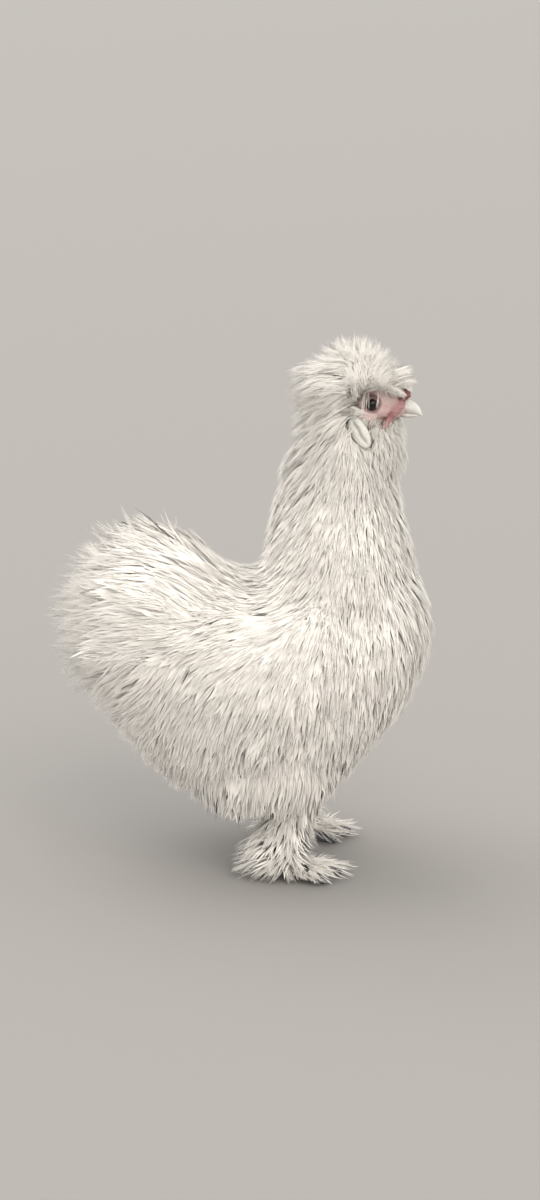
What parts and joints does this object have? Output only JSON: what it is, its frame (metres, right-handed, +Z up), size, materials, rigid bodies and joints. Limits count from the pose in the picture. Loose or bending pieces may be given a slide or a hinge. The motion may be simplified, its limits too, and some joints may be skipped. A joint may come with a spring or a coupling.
{
  "type": "silkie chicken",
  "caption": "A white bearded silkie hen as a still life-size model, standing tall and looking ahead, with a puffed crest, a long silky coat, a round fluffy tail and feathered feet.",
  "frame": {"origin": "on the floor, under the middle of the bird's overall box", "axes": "+X is the way the bird faces, +Y its left side, +Z up"},
  "size_m": [0.2406, 0.166, 0.336],
  "materials": {
    "feathers": "matte",
    "face_skin": "satin",
    "comb_skin": "satin",
    "earlobe_skin": "satin",
    "toe_skin": "satin",
    "bill_horn": "satin",
    "claw_horn": "satin",
    "eye": "gloss"
  },
  "bodies": {
    "root": {"beard": "feathers", "bill_lower": "bill_horn", "bill_upper": "bill_horn", "claw_left_fifth": "claw_horn", "claw_left_hind": "claw_horn", "claw_left_inner": "claw_horn", "claw_left_middle": "claw_horn", "claw_left_outer": "claw_horn", "claw_right_fifth": "claw_horn", "claw_right_hind": "claw_horn", "claw_right_inner": "claw_horn", "claw_right_middle": "claw_horn", "claw_right_outer": "claw_horn", "comb": "comb_skin", "crest": "feathers", "cushion": "feathers", "earlobe_left": "earlobe_skin", "earlobe_right": "earlobe_skin", "eye_left": "eye", "eye_right": "eye", "foot_feathers_left": "feathers", "foot_feathers_right": "feathers", "head": "face_skin", "neck": "feathers", "shank_left": "feathers", "shank_right": "feathers", "tail": "feathers", "thigh_left": "feathers", "thigh_right": "feathers", "toe_left_fifth": "toe_skin", "toe_left_hind": "toe_skin", "toe_left_inner": "toe_skin", "toe_left_middle": "toe_skin", "toe_left_outer": "toe_skin", "toe_right_fifth": "toe_skin", "toe_right_hind": "toe_skin", "toe_right_inner": "toe_skin", "toe_right_middle": "toe_skin", "toe_right_outer": "toe_skin", "trunk": "feathers", "wattle_left": "comb_skin", "wattle_right": "comb_skin", "wing_left": "feathers", "wing_right": "feathers"}
  },
  "joints": []
}
